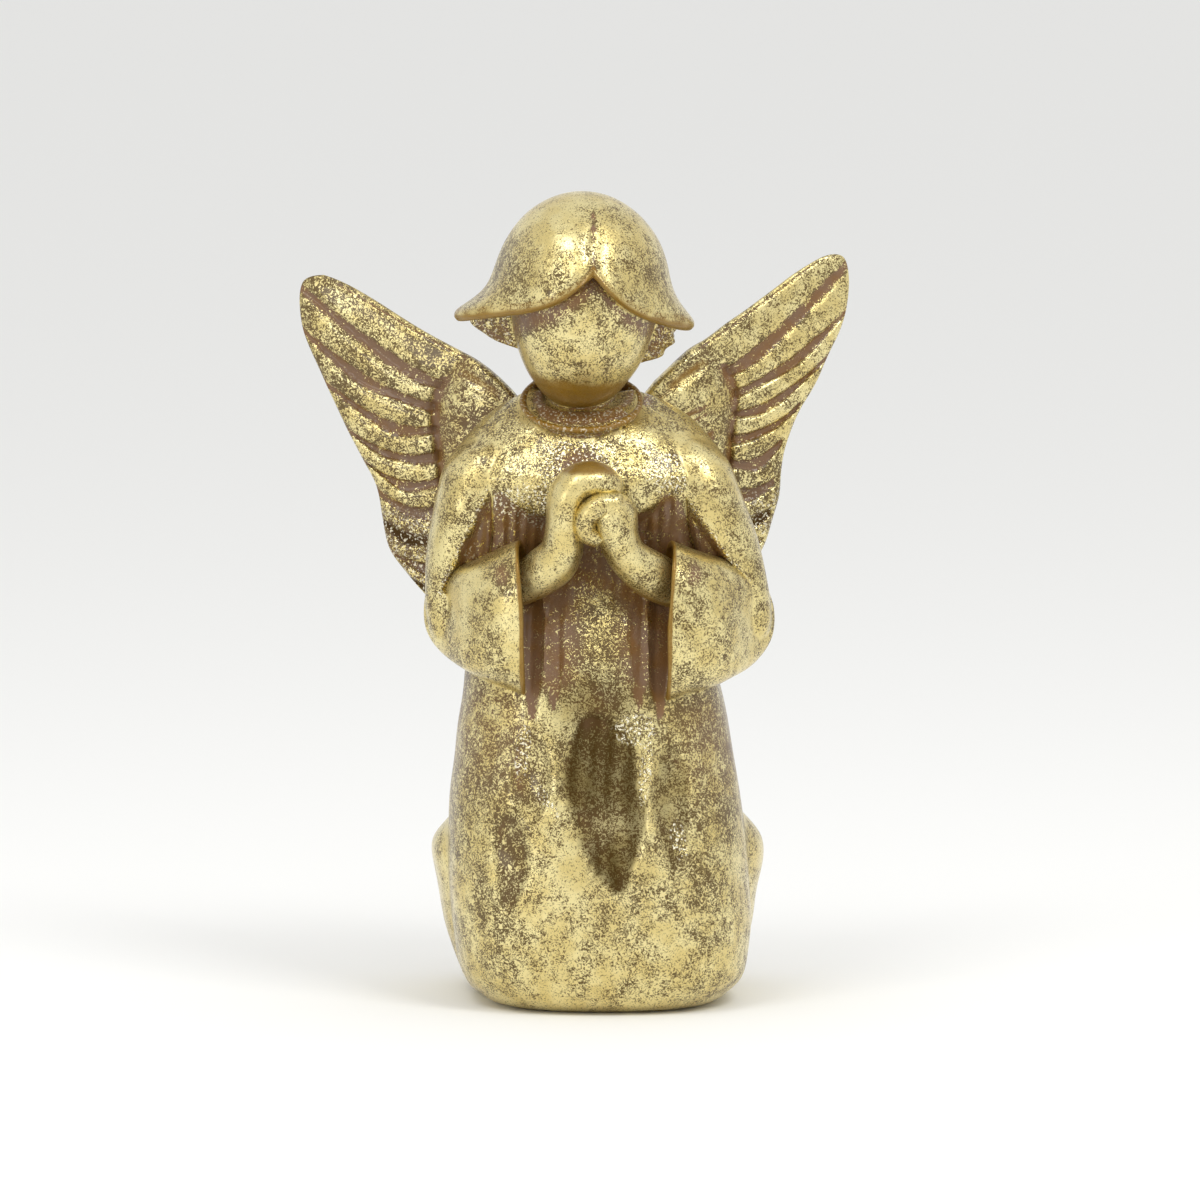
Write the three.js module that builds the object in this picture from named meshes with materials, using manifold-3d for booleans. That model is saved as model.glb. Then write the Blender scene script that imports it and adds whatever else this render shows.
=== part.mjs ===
// A small kneeling angel with folded hands, cast in one piece from a hand-carved model.
// X runs to the viewer's right, Y to the back and Z up. The figure faces -Y, and the origin is on the
// flat underside, below the middle of the robe. The pose, the proportions and the carving are shares of
// the figure's height: their rows of figures are in parts, of which the height has 179.
import * as THREE from "three";
import { LoftGeometry } from "three/addons/geometries/LoftGeometry.js";
import { mergeVertices } from "three/addons/utils/BufferGeometryUtils.js";
import Module from "manifold-3d";

const wasm = await Module();
wasm.setup();

// Driving sizes, in millimetres
const figureHeight = 179;
const wingThickness = 4.4;
const wingEdgeThickness = 2.2;
const featherRidge = 0.9;
const leadingBand = 0.15;
const feathersPerWing = 9;
const covertSwell = 2.2;
const wingSweepDegrees = 20;
const hairRim = 2.2;
const sleeveHollow = 4;
const sleeveTurnDegrees = [35, -5];
const collarRadius = 13.2;
const collarHeight = 7;
const collarTiltDegrees = 26;
const gougeDepth = 2.4;
const headNodDegrees = 7;
const headRollDegrees = 5;
const partingTurnDegrees = 7;
const partingDepth = 0.9;

const grow = figureHeight / 179;
const wellAhead = 60 * grow;
const front = -Math.PI / 2;
const radians = THREE.MathUtils.degToRad;
const { clamp, lerp, smoothstep } = THREE.MathUtils;

// A smooth curve through rows of parts: it gives the row at a share t of the way, from 0 to 1, in millimetres.
function through(rows) {
  const last = rows.length - 1;
  return (t) => {
    const place = clamp(t, 0, 1) * last;
    const i = Math.min(Math.floor(place), last - 1);
    const f = place - i;
    const row = (n) => rows[clamp(n, 0, last)];
    return rows[0].map((_, c) => {
      const [p, q, r, s] = [row(i - 1)[c], row(i)[c], row(i + 1)[c], row(i + 2)[c]];
      return grow * (q + 0.5 * f * (r - p + f * (2 * p - 5 * q + 4 * r - s + f * (3 * (q - r) + s - p))));
    });
  };
}

// A cosine or sine pushed out towards the corners of its ring: power 1 is round, and less is boxier.
const boxy = (value, power) => Math.sign(value) * Math.abs(value) ** power;

// A ring drawn together to one point: its own middle, unless another is given.
const middleOf = (ring) => ring.reduce((sum, p) => sum.addScaledVector(p, 1 / ring.length), new THREE.Vector3());
const gathered = (ring, point = middleOf(ring)) => ring.map(() => point);

// A closed solid lofted through rings, facing out. Its first and last rings are gathered or pinched.
function solidOf(rings) {
  const loft = new LoftGeometry(rings);
  const bare = new THREE.BufferGeometry().setAttribute("position", loft.attributes.position).setIndex(loft.index);
  const merged = mergeVertices(bare, 1e-4);
  const corners = merged.index.array;
  const faces = [];
  for (let i = 0; i < corners.length; i += 3) {
    const [a, b, c] = corners.slice(i, i + 3);
    if (a !== b && b !== c && c !== a) faces.push([a, b, c]);
  }
  const made = (list) =>
    new wasm.Manifold(
      new wasm.Mesh({
        numProp: 3,
        vertProperties: merged.attributes.position.array,
        triVerts: new Uint32Array(list.flat()),
      }),
    );
  const solid = made(faces);
  return solid.volume() > 0 ? solid : made(faces.map((face) => face.reverse()));
}

// The same through rings with open ends, which are closed on their own middles.
const ended = (rings) => solidOf([gathered(rings[0]), ...rings, gathered(rings[rings.length - 1])]);

// A solid lofted through rings, where skin(a, t) is the point at angle a round it and share t along it.
function lofted(skin, sides, steps) {
  const ring = (t) => Array.from({ length: sides }, (_, i) => skin((2 * Math.PI * i) / sides, t));
  return ended(Array.from({ length: steps + 1 }, (_, j) => ring(j / steps)));
}

// Robe, chest and shoulders: [height, middle, half width, front, back]
const robeRows = through([
  [0, 1.2, 22, 20, 34],
  [1.6, 1.2, 26.4, 25, 38],
  [6.5, 1.2, 31, 28.5, 41],
  [15, 0.9, 32.8, 30.5, 40.5],
  [28, 0.2, 33.2, 31, 37.5],
  [42, -0.4, 32.4, 30, 31.5],
  [56, -0.9, 30.6, 28, 26],
  [72, -1.4, 28, 25, 21.5],
  [84, -1.8, 26, 21.6, 19],
  [93, -2, 25, 17.5, 18],
  [103, -2.1, 25.5, 14.6, 17.5],
  [111, -2.1, 30, 16.4, 17.5],
  [118, -2.2, 31, 17.6, 17.5],
  [126.5, -2.3, 26, 16.4, 16],
  [132, -2.6, 19.4, 14, 14],
  [135.4, -3.4, 11, 9, 9],
]);
// The shoulders slope down to the front, to lie under the tipped collar
const shoulderSlope = (z) => Math.tan(radians(collarTiltDegrees)) * smoothstep(z, 113 * grow, 131 * grow);
const robeBoxiness = 0.8;
const uncutRobe = lofted(
  (a, t) => {
    const [z, middle, wide, ahead, behind] = robeRows(t);
    const x = wide * boxy(Math.cos(a), robeBoxiness);
    const y = (Math.sin(a) < 0 ? ahead : behind) * boxy(Math.sin(a), robeBoxiness);
    return new THREE.Vector3(x + middle, y, z + shoulderSlope(z) * Math.min(y, 0));
  },
  28,
  30,
);

// The front of the robe at a place across it and a height, below the shoulders
function robeFront(x, z) {
  let [low, high] = [0, 1];
  for (let i = 0; i < 20; i++) {
    const t = (low + high) / 2;
    [low, high] = robeRows(t)[0] < z ? [t, high] : [low, t];
  }
  const [, middle, wide, ahead] = robeRows(low);
  const across = Math.abs((x - middle) / wide) ** (1 / robeBoxiness);
  return -ahead * boxy(Math.sqrt(Math.max(0, 1 - across * across)), robeBoxiness);
}

// Leaf-shaped hollows cut into the robe by a gouge, broader above than below:
// [x, z, half width, half height, share of gouge depth, slant]
const hollows = [
  [1.8, 47.2, 9.6, 19.6, 1, 0.12],
  [-14.6, 52, 4.4, 10, 0.7, 0.02],
  [-19, 34, 4, 11.5, 0.5, -0.04],
  [16.2, 46, 4.4, 13.5, 0.7, 0.05],
  [-14.4, 80, 2.6, 18, 0.8, 0],
  [-9.6, 79, 2, 15, 0.6, 0],
  [9, 79, 2, 15, 0.6, 0],
  [13.6, 80, 2.6, 18, 0.8, 0],
];
const hollowCut = ([cx, cz, wide, tall, share, slant]) =>
  lofted(
    (a, t) => {
      const along = 2 * t - 1;
      const taper = Math.sqrt(Math.max(0, Math.cos((along * Math.PI) / 2))) * (1 + 0.22 * along);
      const z = grow * (cz + tall * along);
      const x = grow * (cx - slant * tall * along);
      const slope = Math.atan((robeFront(x + grow, z) - robeFront(x - grow, z)) / (2 * grow));
      const across = grow * wide * taper * Math.cos(a);
      const deep = gougeDepth * share * taper * Math.sin(a);
      return new THREE.Vector3(
        x + across * Math.cos(slope) - deep * Math.sin(slope),
        robeFront(x, z) + across * Math.sin(slope) + deep * Math.cos(slope),
        z,
      );
    },
    8,
    7,
  );
const robe = hollows.map(hollowCut).reduce((whole, cut) => whole.subtract(cut), uncutRobe);

// The hem spread over the lower legs behind: [height, half width, ahead, behind], about a middle at trainMiddle
const trainMiddle = 14 * grow;
const trainRows = through([
  [0, 23, 20, 22],
  [1.6, 28, 24, 26.5],
  [6.5, 30.8, 26, 30],
  [15, 33.8, 27, 32],
  [24, 35.6, 27, 32.5],
  [32, 37, 27, 32],
  [36, 36.2, 26, 30.5],
  [40, 32, 23, 27],
  [44, 24, 19, 21],
  [47, 12, 12, 13],
]);
const trainBoxiness = 0.7;
const trainFall = 0.16;
const train = lofted(
  (a, t) => {
    const [z, wide, ahead, behind] = trainRows(t);
    const y = (Math.sin(a) < 0 ? ahead : behind) * boxy(Math.sin(a), trainBoxiness);
    const fall = trainFall * y * smoothstep(z, 6 * grow, 40 * grow);
    return new THREE.Vector3(wide * boxy(Math.cos(a), trainBoxiness), trainMiddle + y, z - fall);
  },
  24,
  9,
);

// Upper arms inside the sleeves, from shoulder to elbow: [x, y, height, half width, half depth]
const armRows = {
  [-1]: through([
    [-20, -2, 126, 5, 6],
    [-24, -2.5, 121, 9, 10],
    [-27.6, -3, 112, 8.2, 12],
    [-30, -3, 101, 7.6, 10.6],
    [-30.6, -3, 91, 7.6, 8.4],
    [-31, -3, 82, 6, 6.4],
    [-31.4, -3, 77.6, 2.5, 4],
  ]),
  [1]: through([
    [15.5, -2, 126, 5, 6],
    [19.6, -2.5, 121, 9, 10],
    [23.8, -3, 112, 8.2, 12],
    [28.2, -3, 101, 7.6, 10.6],
    [30.2, -3, 91, 7.6, 8.4],
    [31.8, -3, 83, 6.4, 6.4],
    [32.2, -3, 78.6, 2.5, 4],
  ]),
};

// Bell sleeves from the elbow to the opening: [x, y, height, half height, half depth]
const sleeveRows = {
  [-1]: through([
    [36.2, -5, 86.6, 2.6, 3],
    [35, -7.4, 86.2, 6.4, 7.4],
    [32, -10.6, 86, 9.8, 10.4],
    [27.2, -13.6, 86.2, 12.4, 11.6],
    [21.4, -16.4, 86.5, 14.9, 11.6],
    [15.8, -18, 86.6, 17.2, 11.2],
  ]),
  [1]: through([
    [36.8, -5, 85, 2.6, 3],
    [35.6, -7.4, 84.8, 6.6, 7.4],
    [32.6, -10.6, 84.8, 10.2, 10.4],
    [27.6, -13.6, 85.4, 13.2, 11.6],
    [21, -16.4, 85.8, 15.4, 11.6],
    [14.8, -18, 86, 17.6, 11.2],
  ]),
};
// Each opening leans back from the hands at its top
const openingLean = 1.6 * grow;

// A hollow between each upper arm, its sleeve and the chest starts flush with the chest and sinks as it goes
// down. Its corners in front view are below the shoulder, at the elbow, behind the sleeve and by the hands.
const armHollows = {
  [-1]: [[-23.5, 114.5], [-34.6, 91.4], [-14.5, 90], [-7, 106]],
  [1]: [[17, 115], [32.4, 93.6], [13.5, 90], [5, 106]],
};
const hollowTop = { front: -15.4 * grow, height: 116 * grow };
const hollowSlope = 0.32;
const hollowBack = (z) => hollowTop.front + hollowSlope * (hollowTop.height - z);
const armHollowCut = (corners) =>
  ended(
    [() => -wellAhead, hollowBack].map((depthAt) =>
      corners.map(([x, z]) => new THREE.Vector3(grow * x, depthAt(grow * z), grow * z)),
    ),
  );
const arms = [];
const sleeves = [];
for (const side of [-1, 1]) {
  arms.push(
    lofted(
      (a, t) => {
        const [x, y, z, wide, deep] = armRows[side](t);
        return new THREE.Vector3(x + wide * boxy(Math.cos(a), 0.9), y + deep * boxy(Math.sin(a), 0.85), z);
      },
      16,
      8,
    ),
  );
  const steps = 8;
  const sides = 18;
  const ring = (t, inset, shrink) =>
    Array.from({ length: sides }, (_, i) => {
      const a = (2 * Math.PI * i) / sides;
      const [x, y, z, tall, deep] = sleeveRows[side](t);
      const turn = radians(lerp(sleeveTurnDegrees[0], sleeveTurnDegrees[1], t));
      const out = deep * shrink * boxy(Math.cos(a), 0.75);
      const up = tall * shrink * boxy(Math.sin(a), 0.75);
      const lean = openingLean * t ** 3 * Math.max(0, Math.sin(a));
      const across = x + inset + lean - out * Math.sin(turn);
      return new THREE.Vector3(side * across, y - out * Math.cos(turn), z + up);
    });
  const rings = Array.from({ length: steps + 1 }, (_, j) => ring(j / steps, 0, 1));
  rings.push(ring(1, 0.2 * grow, 0.86), ring(1, sleeveHollow, 0.6));
  sleeves.push(ended(rings));
}
const dress = Object.values(armHollows).reduce(
  (whole, corners) => whole.subtract(armHollowCut(corners)),
  arms.reduce((whole, arm) => whole.add(arm), robe),
);

// A limb with round sections square to its path: rows of [x, y, height, radius, radius in depth]
function limb(rows, sides, steps) {
  const at = through(rows);
  const step = 0.02;
  return lofted(
    (a, t) => {
      const [x, y, z, radius, deep] = at(t);
      const [fromX, , fromZ] = at(t - step);
      const [toX, , toZ] = at(t + step);
      const across = new THREE.Vector3(toZ - fromZ, 0, fromX - toX).normalize();
      return new THREE.Vector3(x, y - deep * Math.sin(a), z).addScaledVector(across, radius * Math.cos(a));
    },
    sides,
    steps,
  );
}
const hands = [
  // The hand on the viewer's left reaches over the top of the other one
  limb(
    [
      [-24, -14, 90.5, 4.2, 5],
      [-17, -18, 94, 4.7, 6.4],
      [-11.5, -21, 97.4, 5.4, 7],
      [-7.8, -23, 102, 4.9, 7.4],
      [-7.2, -24, 108, 4.3, 7.8],
      [-6.8, -24.5, 113.5, 4.4, 7.8],
      [-4.2, -24.8, 117, 4.5, 7.4],
      [-0.4, -25, 117.6, 4.1, 6.6],
      [3.2, -25, 116.2, 2.8, 5],
      [4.8, -25, 114.8, 0.8, 2],
    ],
    9,
    15,
  ),
  limb(
    [
      [23, -14, 91, 4.6, 5],
      [16.5, -18, 93.8, 5.2, 6.4],
      [11.5, -21, 96.6, 5.5, 7],
      [6.6, -23, 100.6, 5, 7.4],
      [4.6, -24, 104.8, 4.9, 7.8],
      [3.8, -24.8, 108.6, 5.3, 8],
      [3.6, -25, 112, 4.8, 7],
      [3.4, -25, 114.6, 2, 4],
    ],
    9,
    12,
  ),
  // The curled fingers of the hand on the viewer's right
  limb(
    [
      [5.4, -29, 113, 2.2, 2.6],
      [0.6, -30, 112.6, 2.7, 3.2],
      [-2.8, -29.4, 109.8, 2.5, 3.4],
      [-2.4, -28.6, 106.4, 2.4, 3.2],
      [0.8, -28, 104.6, 1.6, 2.4],
    ],
    8,
    8,
  ),
];

// The neck and its rolled collar tip forwards, so the collar's front rim lies lower than its back.
// The band's profile is [share of height, share of radius], up the outside, over the rim and down inside.
const neckBase = new THREE.Vector3(-3.6, -3.2, 132.5).multiplyScalar(grow);
const collarTilt = new THREE.Euler(radians(collarTiltDegrees), 0, radians(-2));
const bandShare = [
  [-0.9, 0.8],
  [-0.4, 0.99],
  [-0.14, 0.99],
  [0, 1.04],
  [0.14, 1.02],
  [0.16, 0.94],
  [0.04, 0.88],
  [-0.3, 0.8],
  [-0.5, 0.66],
];
const collarSides = 24;
const collarRings = bandShare.map(([up, out]) =>
  Array.from({ length: collarSides }, (_, i) => {
    const a = (2 * Math.PI * i) / collarSides;
    const radius = out * collarRadius;
    return new THREE.Vector3(radius * Math.cos(a), 0.95 * radius * Math.sin(a), up * collarHeight)
      .applyEuler(collarTilt)
      .add(neckBase);
  }),
);
const collar = ended(collarRings);
const neckRadius = 7.6 * grow;
const neckBack = 2.6 * grow;
const neckReach = 7 * grow;
const neck = lofted(
  (a, t) =>
    new THREE.Vector3(neckRadius * Math.cos(a), neckBack + neckRadius * Math.sin(a), neckReach * (2 * t - 1))
      .applyEuler(collarTilt)
      .add(neckBase),
  14,
  2,
);

// The head is made about the middle of the skull, then nodded, rolled and set in its place
const skull = new THREE.Vector3(-3.9, -3.4, 157).multiplyScalar(grow);
const headTurn = new THREE.Euler(radians(headNodDegrees), radians(headRollDegrees), 0);
const onHead = (x, y, z) => new THREE.Vector3(x, y, z).applyEuler(headTurn).add(skull);

// A smooth face with no features: [height, half width, ahead, behind]
const faceMiddle = [1.1 * grow, -1.4 * grow];
const faceRows = through([
  [-25.2, 0.4, 0.4, 0.4],
  [-24.6, 4.2, 5.4, 5],
  [-22.2, 7.8, 9.8, 8.6],
  [-18, 11.2, 14, 11.6],
  [-12, 14, 17.2, 14],
  [-5, 15.9, 18.6, 15],
  [3, 16, 18, 15],
  [10, 12, 13, 12],
]);
const face = lofted(
  (a, t) => {
    const [z, wide, ahead, behind] = faceRows(t);
    const y = (Math.sin(a) < 0 ? ahead : behind) * boxy(Math.sin(a), 0.92);
    return onHead(faceMiddle[0] + wide * boxy(Math.cos(a), 0.92), faceMiddle[1] + y, z);
  },
  22,
  9,
);

// Hair combed from a parting into a bell with turned-up ends. Its rim rises to a peak below the parting
// and dips at the back; rimHeight gives it at an angle, and flick says how far the ends turn out, which is
// further on the viewer's left.
const partingAngle = front + radians(partingTurnDegrees);
const fromParting = (a) => Math.abs(Math.atan2(Math.sin(a - partingAngle), Math.cos(a - partingAngle)));
function rimHeight(a) {
  const off = fromParting(a);
  const peak = 12.4 * Math.exp(-((off / 0.5) ** 1.15));
  const side = (2 + 1.2 * Math.max(0, -Math.cos(a))) * smoothstep(off, 0.9, 1.6);
  return grow * (peak - 3.4 - side - 6 * smoothstep(off, 1.9, Math.PI));
}
function flick(a) {
  const off = fromParting(a);
  const side = (6.1 - 0.9 * Math.cos(a)) * Math.exp(-(((off - 1.5) / 0.42) ** 2));
  return grow * (1 + side + 2 * smoothstep(off, 2.2, 3));
}
const dome = { wide: 19.5 * grow, ahead: 21.5 * grow, behind: 22 * grow, tall: 22.2 * grow };
const hairSteps = 10;
const hairSides = 36;
const hairRing = (heightOf, outOf) =>
  Array.from({ length: hairSides }, (_, i) => {
    const a = partingAngle + (2 * Math.PI * i) / hairSides;
    const z = heightOf(a);
    const round = Math.sqrt(Math.max(0, 1 - (Math.max(z, 0) / dome.tall) ** 2));
    const out = round + outOf(a, z) / dome.wide;
    const deep = Math.sin(a) < 0 ? dome.ahead : dome.behind;
    return onHead(dome.wide * out * Math.cos(a), deep * out * Math.sin(a), z);
  });
// The comb line is a shallow valley from brow to crown
const valley = (a, t) => -partingDepth * Math.exp(-((fromParting(a) / 0.13) ** 2)) * smoothstep(t, 0.25, 0.7);
const hairRings = Array.from({ length: hairSteps }, (_, j) => {
  const t = (j + 1) / hairSteps;
  const drop = 0.35 * Math.sin((t * Math.PI) / 2) ** 2 + 0.65 * t ** 1.6;
  return hairRing(
    (a) => lerp(dome.tall, rimHeight(a), drop),
    (a, z) => flick(a) * Math.exp(-((Math.max(0, z - rimHeight(a)) / (4.6 * grow)) ** 1.6)) + valley(a, t),
  );
});
const hairUnder = [
  hairRing((a) => rimHeight(a) - hairRim * 0.7, (a) => flick(a) - hairRim * 0.35),
  hairRing((a) => rimHeight(a) - hairRim * 0.55, (a) => flick(a) - hairRim * 1.4),
  hairRing((a) => rimHeight(a) + hairRim * 0.6, (a) => flick(a) * 0.3 - hairRim * 2),
  hairRing((a) => rimHeight(a) + hairRim * 1.5, () => -hairRim * 4),
];
const crown = gathered(hairRings[0], onHead(0, 0, dome.tall));
const hairFloor = gathered(hairRings[0], onHead(0, 0, 2 * grow));
const hair = solidOf([crown, ...hairRings, ...hairUnder, hairFloor]);

// A second, shorter layer of hair shows below the first at the sides and back
const napeRows = through([
  [6, 14, 10, 14],
  [0, 18, 8, 18],
  [-4, 20.4, 6.5, 19.5],
  [-8, 21.4, 5, 20],
  [-10.4, 20.4, 4, 18.6],
  [-13.6, 17, 3, 16],
  [-16, 9, 2, 10],
]);
const nape = lofted(
  (a, t) => {
    const [z, wide, ahead, behind] = napeRows(t);
    const y = (Math.sin(a) < 0 ? ahead : behind) * Math.sin(a);
    const lift = 1.8 * grow * smoothstep(-Math.cos(a), 0.2, 0.9) * smoothstep(t, 0.3, 0.9);
    return onHead(wide * Math.cos(a) * (Math.cos(a) < 0 ? 1.1 : 1.03), y, z + lift);
  },
  22,
  6,
);

// Wings. Each row of points runs down the wing, from the leading edge to the last feather, in front view:
// where it joins the back, where the feathers start, and where their ends lie.
const wingShapes = [
  {
    side: -1,
    join: through([[-12, 126], [-9, 117], [-9, 104], [-10, 88]]),
    root: through([[-29.5, 142.1], [-35.4, 131], [-34.6, 117], [-32.5, 101], [-29, 83]]),
    tips: through([
      [-61, 160.2], [-65.8, 157], [-66, 147.2], [-61.3, 136], [-56.3, 125.5], [-52.4, 118.2],
      [-49.4, 112], [-48.2, 105], [-46.4, 98], [-42.6, 92.6], [-37, 86],
    ]),
    sag: 3,
  },
  {
    side: 1,
    join: through([[5, 127], [5, 117], [6, 104], [8, 88]]),
    root: through([[23, 144.8], [29.6, 134], [29, 121], [28.5, 105], [27, 88]]),
    tips: through([
      [49.8, 164.4], [54.8, 162.6], [55.5, 152], [51.8, 142], [47.4, 133], [43, 125],
      [40.8, 116], [40, 109], [38, 102], [35.4, 96], [31, 88],
    ]),
    sag: 2.4,
  },
];
const wingBack = 11 * grow;
const wingClear = 12 * grow;
const sweep = Math.tan(radians(wingSweepDegrees));
const covertShare = 0.32;
const covertArch = 2 * grow;
const tipDroop = 1.6 * grow;

// The feathers' relief across the wing: a plain leading band, then ridges that rise sharply and fall gently.
const featherPlaces = [0, 0.28, 0.62];
const bandPlaces = [0, 0.12, 0.5, 0.9];
const wingPlaces = [
  ...bandPlaces.map((share) => share * leadingBand),
  ...Array.from({ length: feathersPerWing }, (_, n) =>
    featherPlaces.map((share) => lerp(leadingBand, 1, (n + share) / feathersPerWing)),
  ).flat(),
  1,
];
function feathering(v) {
  const place = ((v - leadingBand) / (1 - leadingBand)) * feathersPerWing;
  const share = place - Math.floor(place + 1e-6);
  const rise = smoothstep(share, 0, featherPlaces[1]) * (1 - smoothstep(share, featherPlaces[1], 1));
  return place < -1e-6 ? 0 : featherRidge * (rise - 0.5);
}
function wing({ join, root, tips, sag }) {
  const place = (v, along) => {
    const [jx, jz] = join(v);
    const [rx, rz] = root(v);
    const [tx, tz] = tips(v);
    const u = (along - covertShare) / (1 - covertShare);
    const shared = along / covertShare;
    const hang = grow * sag * 4 * u * (1 - u) * (0.15 + 0.85 * Math.sin(Math.PI * v));
    const droop = tipDroop * u ** 8 * (1 - v) ** 10;
    const arch = covertArch * 4 * shared * (1 - shared) * (1 - v) ** 3;
    if (u < 0) return [lerp(jx, rx, shared), lerp(jz, rz, shared) + arch];
    return [lerp(rx, tx, u), lerp(rz, tz, u) - hang - droop];
  };
  const skin = (v, along, facing) => {
    const [x, z] = place(v, along);
    const u = Math.max(0, (along - covertShare) / (1 - covertShare));
    const rim = Math.sqrt(Math.max(0, 1 - Math.abs(2 * v - 1) ** 14)) * Math.sqrt(Math.max(0, 1 - u ** 10));
    const inner = clamp(along / covertShare, 0, 1);
    const lobe = covertSwell * (1 - inner ** 8) * smoothstep(inner, 0.1, 0.6) * (1 - smoothstep(v, 0.5, 0.75));
    const ridges = feathering(v) * smoothstep(along, 0.9 * covertShare, 1.2 * covertShare);
    const relief = facing < 0 ? ridges + lobe : 0;
    const thick = lerp(wingThickness, wingEdgeThickness, Math.max(u, v)) / 2;
    const middle = wingBack + sweep * (Math.abs(x) - wingClear);
    return new THREE.Vector3(x, middle + facing * (thick + relief) * rim, z);
  };
  const alongs = [0, 0.16, 0.3, 0.325, 0.42, 0.6, 0.8, 0.9, 0.96, 1];
  const rings = alongs.map((along) => [
    ...wingPlaces.map((v) => skin(v, along, -1)),
    ...wingPlaces.slice(1, -1).reverse().map((v) => skin(v, along, 1)),
  ]);
  return solidOf([gathered(rings[0]), ...rings]);
}

const pieces = [dress, train, ...sleeves, ...hands, neck, collar, face, nape, hair, ...wingShapes.map(wing)];
const figure = pieces.reduce((whole, piece) => whole.add(piece)).getMesh();

const geometry = new THREE.BufferGeometry();
geometry.setAttribute("position", new THREE.BufferAttribute(figure.vertProperties, 3));
geometry.setIndex(new THREE.BufferAttribute(figure.triVerts, 1));
geometry.computeVertexNormals();

const gilding = new THREE.MeshStandardMaterial({ color: "#cdb776", roughness: 0.35, metalness: 0.9 });
const angel = new THREE.Mesh(geometry, gilding);
angel.name = "angel_figure";

const statue = new THREE.Group();
statue.add(angel);

export default statue;
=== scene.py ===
"""A small kneeling angel in antique gold leaf: the whole casting, its stage, its lamps and its camera.

Every surface is a function of two parameters worked out on a grid, in millimetres, with X to the viewer's
right, Y to the back and Z up. The figure's own proportions are parts of its height, which has 179 of them.
"""

import bpy
import numpy as np
from mathutils import Matrix, Vector


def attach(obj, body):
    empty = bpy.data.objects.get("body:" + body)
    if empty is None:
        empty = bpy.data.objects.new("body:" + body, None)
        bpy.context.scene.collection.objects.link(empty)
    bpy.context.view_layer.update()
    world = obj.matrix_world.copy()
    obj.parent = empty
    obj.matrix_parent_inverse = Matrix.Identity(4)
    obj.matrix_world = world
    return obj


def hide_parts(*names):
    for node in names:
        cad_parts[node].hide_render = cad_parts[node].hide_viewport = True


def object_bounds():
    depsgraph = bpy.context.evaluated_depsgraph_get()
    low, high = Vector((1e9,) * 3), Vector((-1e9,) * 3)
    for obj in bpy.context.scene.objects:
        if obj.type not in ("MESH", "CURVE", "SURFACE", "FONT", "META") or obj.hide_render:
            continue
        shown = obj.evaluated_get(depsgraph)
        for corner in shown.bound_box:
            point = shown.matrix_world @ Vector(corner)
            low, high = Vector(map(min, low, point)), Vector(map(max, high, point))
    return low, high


bl_info = {
    "name": "Gilded kneeling angel",
    "version": (1, 0, 0),
    "blender": (4, 5, 0),
    "location": "View3D > Sidebar > Angel",
    "description": "Builds a small gilded angel, its stage, its lamps and its camera",
    "category": "Object",
}

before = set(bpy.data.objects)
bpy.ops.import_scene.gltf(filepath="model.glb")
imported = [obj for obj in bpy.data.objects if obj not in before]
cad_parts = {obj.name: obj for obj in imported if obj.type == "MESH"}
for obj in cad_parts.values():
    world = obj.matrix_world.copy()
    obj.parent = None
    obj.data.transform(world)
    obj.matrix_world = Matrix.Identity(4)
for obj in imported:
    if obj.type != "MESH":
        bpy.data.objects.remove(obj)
SOLID_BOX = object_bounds()
PARTS_PER_HEIGHT = 179
HEIGHT = (SOLID_BOX[1].z - SOLID_BOX[0].z) * 1000
GROW = HEIGHT / PARTS_PER_HEIGHT
METRES = 0.001
FRONT = -np.pi / 2


# Curves and shares


def boxy(value, power):
    """A cosine or sine raised to a power with its sign kept, which pushes a ring towards its corners."""
    return np.sign(value) * np.abs(value) ** power


def smooth(value, low, high):
    """0 below low, 1 above high and 3t2 - 2t3 between them."""
    t = np.clip((value - low) / (high - low), 0, 1)
    return t * t * (3 - 2 * t)


def hill(value, middle, width):
    """A bell curve: e to the minus square of the distance from the middle in widths."""
    return np.exp(-(((value - middle) / width) ** 2))


def mix(a, b, t):
    """The value a share t of the way from a to b."""
    return a + (b - a) * t


def through(rows, scale=GROW):
    """A Catmull-Rom curve through rows of parts: the cubic blend of the four rows round a share t."""
    table = np.array(rows, float)
    last = len(table) - 1

    def at(t):
        place = np.clip(t, 0, 1) * last
        i = np.minimum(place.astype(int), last - 1)
        f = (place - i)[..., None]
        p, q, r, s = (table[np.clip(i + n, 0, last)] for n in (-1, 0, 1, 2))
        value = q + 0.5 * f * (r - p + f * (2 * p - 5 * q + 4 * r - s + f * (3 * (q - r) + s - p)))
        return np.moveaxis(scale * value, -1, 0)

    return at


def shares_by_height(rows, steps):
    """Shares t of a curve whose first column is a height, evenly apart in height."""
    dense = np.linspace(0, 1, 4000)
    height = rows(dense)[0]
    return np.interp(np.linspace(height[0], height[-1], steps + 1), height, dense)


def angles(front, back):
    """Angles round a ring from its left side, with more steps on the half that faces the viewer."""
    ahead = np.linspace(-np.pi, 0, front, endpoint=False)
    behind = np.linspace(0, np.pi, back, endpoint=False)
    return np.concatenate([ahead, behind])[None, :]


def even_angles(steps):
    """Angles round a ring from its left side, evenly apart."""
    return np.linspace(-np.pi, np.pi, steps, endpoint=False)[None, :]


def ring_depth(a, ahead, behind, power=1):
    """How far back a boxy ring lies at each angle, from how far it reaches ahead and behind."""
    return np.where(np.sin(a) < 0, ahead, behind) * boxy(np.sin(a), power)


# Shells. A shell is a grid of points and the finish at each point: five amounts from 0 to 1.

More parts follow.
